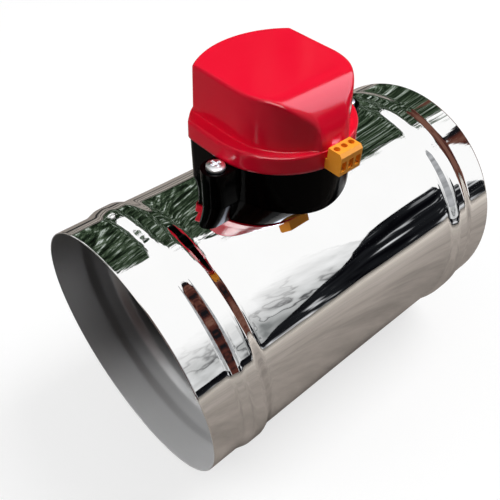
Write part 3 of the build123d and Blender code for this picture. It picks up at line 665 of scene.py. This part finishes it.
def crossArm(across, along, sizes):
    # 1 within the arm's half width and reach, down to 0 over a soft edge
    inSide = np.clip((sizes["armHalf"] - np.abs(across)) / sizes["armSoft"] + 0.5, 0, 1)
    inEnd = np.clip((sizes["armReach"] - np.abs(along)) / sizes["armSoft"] + 0.5, 0, 1)
    return inSide * inEnd


def buildScrews(sizes):
    # profile from the top's middle over the dome, under the head and down the shank, turned once
    low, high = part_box("mounting_screws")
    seat = high.z - sizes["head"]
    foot = low.z - seat
    domeR = np.linspace(0, 1, sizes["domeRings"]) * sizes["headR"] * sizes["domeShare"]
    domeZ = sizes["head"] - sizes["dome"] * (domeR / sizes["headR"]) ** sizes["domePower"]
    sideT = np.linspace(sizes["sideFrom"], 1, sizes["sideRings"]) * math.pi / 2
    sideR = sizes["headR"] * (sizes["domeShare"] + (1 - sizes["domeShare"]) * np.sin(sideT))
    sideZ = sizes["brim"] + (domeZ[-1] - sizes["brim"]) * np.cos(sideT)
    shank = np.array([
        (sizes["headR"] - sizes["undercut"], 0.0), (sizes["shankR"], 0.0),
        (sizes["shankR"], foot + sizes["tip"]), (sizes["shankR"] - sizes["tip"], foot), (0.0, foot)])
    r = np.concatenate([domeR, sideR, shank[:, 0]])
    z = np.concatenate([domeZ, sideZ, shank[:, 1]])
    turn = np.linspace(0, 2 * math.pi, sizes["around"], endpoint=False)[:, None]
    x, y = r * np.cos(turn), r * np.sin(turn)
    onDome = np.arange(len(r)) < len(domeR)
    pressed = np.maximum(crossArm(x, y, sizes), crossArm(y, x, sizes)) * onDome
    grid = np.stack([x, y, z[None, :] - sizes["armDepth"] * pressed + seat], -1)
    reach = high.x - sizes["headR"]
    grids = [grid[::-1] + np.array([side * reach, 0, 0]) for side in (-1, 1)]
    piece = meshFromGrid("mounting_screw_heads", grids, zinc, closeU=True)
    weld(piece.data, sizes["poleReach"], sizes["poleReach"])
    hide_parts("mounting_screws")
    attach(piece, "sleeve")


buildScrews(screwSizes)
print("moulded shells built")


def seenByEye(m):
    # 1 on rays that come from the camera, straight, mirrored or through something clear
    straightOn, mirrored, through = (
        m.node("ShaderNodeLightPath", out=name)
        for name in ("Is Camera Ray", "Is Glossy Ray", "Is Transmission Ray"))
    return (straightOn + mirrored + through).atMost(1.0)


def onlyInGloss(piece):
    piece.visible_camera = False
    piece.visible_diffuse = False
    piece.visible_shadow = False


# floor: white wherever it is seen, dull as a source of light; a grey-brown cloth on it shows only in
# gloss; the whitening and paling go by the square of the distance
floorSizes = {
    "halfWidth": 40.0,
    "clearance": 0.0005,
    "whiteFrom": 0.2,
    "whiteOver": 1.2,
    "paleFrom": 0.04,
    "paleOver": 1.4,
    "foldsFrom": 0.18,
    "foldsOver": 0.2,
    "foldEdge": 0.46,
    "foldSharp": 9.0,
}


def paleFloor(sizes):
    m = Finish("paleFloor")
    seen = seenByEye(m)
    x, y = m.axis(0), m.axis(1)
    away = ((x * x + y * y - sizes["whiteFrom"]) / sizes["whiteOver"]).toUnit()
    lit = m.mix(away, (0.30, 0.30, 0.30), (0.0, 0.0, 0.0))
    glow = m.mix(away, (0.70, 0.70, 0.70), (1.0, 1.0, 1.0))
    return m.surface(
        Base_Color=m.mix(seen, (0.12, 0.11, 0.10), lit), Emission_Color=m.mix(seen, (0.0, 0.0, 0.0), glow),
        Emission_Strength=1.0, Roughness=0.9, Specular_IOR_Level=0.0)


def groundCloth(sizes):
    m = Finish("groundCloth")
    x, y = m.axis(0), m.axis(1)
    far = ((x * x + y * y - sizes["paleFrom"]) / sizes["paleOver"]).toUnit()
    patch = m.noise(0.05, 5.0, 0.65, (1, 0.25, 1))
    patchy = m.mix(patch, (0.08, 0.070, 0.061), (0.42, 0.370, 0.330))
    tone = m.mix(far, patchy, (0.60, 0.545, 0.485))
    # dark folds behind the object
    folds = ((m.noise(0.30, 3.0, 0.6, (0.5, 1, 1)) - sizes["foldEdge"]) * sizes["foldSharp"]).toUnit()
    behind = ((y - sizes["foldsFrom"]) / sizes["foldsOver"]).toUnit()
    return m.surface(
        Base_Color=m.mix(folds * behind, tone, (0.012, 0.012, 0.012)),
        Roughness=0.9, Specular_IOR_Level=0.1)


def buildSheet(name, height, material, sizes):
    # flat square about the object
    corners = np.linspace(-sizes["halfWidth"], sizes["halfWidth"], 3)
    level = np.full((1, 1), height)
    grid = np.stack(np.broadcast_arrays(corners[:, None], corners[None, :], level), -1)
    piece = meshFromGrid(name, grid, material)
    return piece


# flags: dappled dark cloths all round, seen only by polished metal and gloss; a cloth's row is the headings
# where it starts and stops, the lift where it ends, all in degrees, and how ragged these three edges are
flagSizes = {
    "radius": 3.0,
    "around": 128,
    "rows": 9,
    "low": -0.078,
    "high": 16.0,
    "clumpRagged": 34.0,
    "dappleRagged": 24.0,
    "back": (5.0, 88.0, 60.0, (1.3, 1.0, 0.6)),  # behind to the right, tall
    "side": (98.0, 181.0, 54.0, (0.5, 0.0, 0.4)),  # behind to the left
    "veil": (-97.0, -47.0, 47.0, (0.0, 0.2, 0.25)),  # pale grey, ahead to the right
    "near": (-168.0, -97.0, 74.0, (0.0, 0.1, 0.3)),  # warm, behind the camera
    "end": (-34.0, 20.0, 36.0, (0.0, 0.1, 0.2)),  # warm, ahead to the far right
    "endDrop": (-20.0, 1.3),  # lower below this heading, by this slope
    "front": (-96.0, -38.0, 0.0, (0.0, 0.05, 0.0)),  # dark, ahead to the right, up to a ridge
    "ridge": (-66.0, 0.95, 4.5, 4.0, 24.0),  # heading, slope, lift there, least, most
    "ridgeRagged": 5.0,
    "strip": (-97.0, -77.0, 14.0),  # grey, right of the camera, from this lift to the top
    "veilPale": (14.0, 26.0, 0.5),  # from this lift, over this much, ragged
}


def flagCloth(sizes):
    m = Finish("flagCloth")
    x, y, z = (m.axis(k) for k in range(3))
    degree = 180.0 / math.pi
    heading = x.math("ARCTAN2", y, x) * degree
    lift = x.math("ARCTAN2", z, sizes["radius"]) * degree
    clump = m.noise(0.9, 4.0, 0.6)
    dapple = m.noise(0.06, 5.0, 0.72, (1.2, 1.2, 0.11))
    streak = m.noise(0.40, 2.0, 0.5, (1, 1, 1.6))
    crease = m.noise(0.35, 3.0, 0.55, (1, 1, 0.3))
    clumpy = clump - 0.5
    ragged = clumpy * sizes["clumpRagged"] + (dapple - 0.5) * sizes["dappleRagged"]

    def cloth(name, height):
        start, stop, top, (startRagged, stopRagged, topRagged) = sizes[name]
        across = (heading + ragged * startRagged).above(start) * (heading + ragged * stopRagged).below(stop)
        return across * (height + ragged * topRagged).below(top)

    dropFrom, dropSlope = sizes["endDrop"]
    drop = (dropFrom - heading).atLeast(0.0) * dropSlope
    ridgeAt, ridgeSlope, ridgeLift, ridgeLeast, ridgeMost = sizes["ridge"]
    ridge = ((heading - ridgeAt) * ridgeSlope + ridgeLift).atMost(ridgeMost).atLeast(ridgeLeast)
    stripStart, stripStop, stripLow = sizes["strip"]
    back, side, veil, near = (cloth(name, lift) for name in ("back", "side", "veil", "near"))
    end = cloth("end", lift + drop)
    front = cloth("front", lift - ridge + clumpy * sizes["ridgeRagged"])
    strip = heading.below(stripStop) * heading.above(stripStart) * lift.above(stripLow)
    shown = (back + side + front + veil + near + end + strip).above(0.5)

    green = m.ramp(dapple, [
        (0.36, (0.002, 0.003, 0.002)), (0.48, (0.014, 0.024, 0.013)),
        (0.57, (0.075, 0.110, 0.065)), (0.65, (0.60, 0.66, 0.62))])
    warm = m.ramp(clump, [
        (0.40, (0.008, 0.008, 0.010)), (0.50, (0.080, 0.024, 0.018)), (0.60, (0.17, 0.080, 0.058))])
    creased = m.ramp(crease, [
        (0.30, (0.20, 0.21, 0.21)), (0.44, (0.46, 0.47, 0.47)), (0.465, (0.06, 0.06, 0.065)),
        (0.49, (0.50, 0.51, 0.51)), (0.64, (0.80, 0.81, 0.82))])
    paleFrom, paleOver, paleRagged = sizes["veilPale"]
    grey = m.mix(((lift + ragged * paleRagged - paleFrom) / paleOver).toUnit(), creased, (1.0, 1.0, 1.0))
    banded = m.mix(streak, (0.10, 0.105, 0.11), (0.62, 0.63, 0.65))
    dark = m.ramp(streak, [
        (0.35, (0.002, 0.002, 0.003)), (0.55, (0.012, 0.013, 0.015)), (0.66, (0.70, 0.71, 0.73))])
    tone = m.mix((near + end).atMost(1.0), green, warm)
    tone = m.mix(strip, m.mix(veil, tone, grey), banded)
    tone = m.mix(front, tone, dark)
    glow = m.node("ShaderNodeEmission", None, {"Color": tone, "Strength": 1.0})
    clear = m.node("ShaderNodeBsdfTransparent")
    m.node("ShaderNodeOutputMaterial", None, {
        "Surface": m.node("ShaderNodeMixShader", None, {0: shown, 1: clear, 2: glow})})
    return m.block


def buildFlags(sizes):
    # upright cylinder about the object
    angle = np.linspace(0, 2 * math.pi, sizes["around"], endpoint=False)
    z = np.linspace(sizes["low"], sizes["high"], sizes["rows"])
    ring = sizes["radius"] * np.stack([np.cos(angle), np.sin(angle)], -1)
    grid = np.concatenate([
        np.broadcast_to(ring[:, None, :], (len(angle), len(z), 2)),
        np.broadcast_to(z[None, :, None], (len(angle), len(z), 1))], -1)
    piece = meshFromGrid("flags", grid, flagCloth(sizes), closeU=True)
    return piece


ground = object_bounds()[0].z - floorSizes["clearance"]
buildSheet("floor", ground, paleFloor(floorSizes), floorSizes)
clothHeight = ground + floorSizes["clearance"] / 2
onlyInGloss(buildSheet("ground_cloth", clothHeight, groundCloth(floorSizes), floorSizes))
onlyInGloss(buildFlags(flagSizes))

# sky: white where it is seen or mirrored, softer as light
skyLight = 0.14
scene.world = bpy.data.worlds.new("studio")
sky = Finish("studio", scene.world)
skyColour = sky.mix(seenByEye(sky), (skyLight, skyLight, skyLight), (1.0, 1.0, 1.0))
sky.node("ShaderNodeOutputWorld", None, {
    "Surface": sky.node("ShaderNodeBackground", None, {"Color": skyColour, "Strength": 1.0})})

# lamps: sheets that give only diffuse light or only gloss, on every piece, on some or off some
lampSizes = {
    "keySheet": {
        "place": (1.00, -0.26, 1.55), "aim": (0, 0, 0.05), "size": (1.1, 1.1), "watts": 31,
        "without": "visible_glossy"},
    "shineSheet": {
        "place": (1.20, -0.44, 1.25), "aim": (0, 0, 0.05), "size": (1.2, 1.6), "watts": 33,
        "without": "visible_diffuse", "colour": (0.76, 0.83, 1.0), "link": ("EXCLUDE", [sleeve])},
    "topSheet": {
        "place": (-0.4, 0.5, 1.8), "aim": (0, 0, 0), "size": (2.0, 2.0), "watts": 10,
        "without": "visible_glossy"},
    "rimSheet": {
        "place": (-1.30, 0.90, 0.85), "aim": (0, 0, 0.05), "size": (1.1, 0.5), "watts": 10,
        "without": "visible_glossy", "link": ("EXCLUDE", [sleeve])},
    "eyeSheet": {
        "place": (-0.80, -0.745, 1.30), "aim": (0, 0, 0.1), "size": (1.3, 1.1), "watts": 44,
        "without": "visible_diffuse", "link": ("EXCLUDE", [sleeve, base, terminal])},
    "mouthSheet": {
        "place": (-0.72, 0.60, 0.62), "aim": (-0.10, 0, -0.06), "size": (0.35, 0.35), "watts": 26,
        "without": "visible_glossy", "link": ("INCLUDE", [sleeve])},
}


def softLamp(name, sizes):
    data = bpy.data.lights.new(name, "AREA")
    data.shape = "RECTANGLE"
    data.size, data.size_y = sizes["size"]
    data.energy = sizes["watts"]
    data.color = sizes.get("colour", (1.0, 1.0, 1.0))
    lamp = bpy.data.objects.new(name, data)
    lamp.location = sizes["place"]
    toAim = Vector(sizes["aim"]) - Vector(sizes["place"])
    lamp.rotation_euler = toAim.to_track_quat("-Z", "Y").to_euler()
    setattr(lamp, sizes["without"], False)
    scene.collection.objects.link(lamp)
    return lamp


def linkLamp(lamp, state, pieces):
    # these pieces alone, or everything but them
    chosen = bpy.data.collections.new(lamp.name + "Pieces")
    for piece in pieces:
        chosen.objects.link(piece)
    for member in chosen.collection_objects:
        member.light_linking.link_state = state
    lamp.light_linking.receiver_collection = chosen


for name, sizes in lampSizes.items():
    lamp = softLamp(name, sizes)
    if "link" in sizes:
        linkLamp(lamp, *sizes["link"])
print("stage lit")

# camera at the photograph's viewpoint
cameraSizes = {
    "azimuth": -42.40,
    "elevation": 47.25,
    "lean": -2.383,
    "ductR": 0.075,
    "offset": (-0.149, -0.356, 4.813),  # in duct radii
    "axisShift": 0.002364,
    "focalPixels": 559.73,
    "centrePixel": (262.25, 301.73),
    "framePixels": 500.0,
    "sensor": 36.0,
    "clip": (0.01, 100.0),
}


def placeCamera(sizes):
    a, e, t = (math.radians(sizes[key]) for key in ("azimuth", "elevation", "lean"))
    back = Vector((math.sin(a) * math.cos(e), -math.cos(a) * math.cos(e), math.sin(e)))
    right = Vector((math.cos(a), math.sin(a), 0.0))
    axes = Matrix((right, back.cross(right), back)) @ Matrix.Rotation(t, 3, "X").transposed()
    place = axes.transposed() @ (Vector(sizes["offset"]) * sizes["ductR"])
    place += Vector((sizes["axisShift"], 0, 0))
    data = bpy.data.cameras.new("photoCamera")
    data.sensor_width = sizes["sensor"]
    data.lens = sizes["focalPixels"] * sizes["sensor"] / sizes["framePixels"]
    half = sizes["framePixels"] / 2
    data.shift_x = (half - sizes["centrePixel"][0]) / sizes["framePixels"]
    data.shift_y = (sizes["centrePixel"][1] - half) / sizes["framePixels"]
    data.clip_start, data.clip_end = sizes["clip"]
    camera = bpy.data.objects.new("photoCamera", data)
    camera.matrix_world = Matrix.Translation(place) @ axes.transposed().to_4x4()
    scene.collection.objects.link(camera)
    scene.camera = camera


placeCamera(cameraSizes)
print("camera placed")
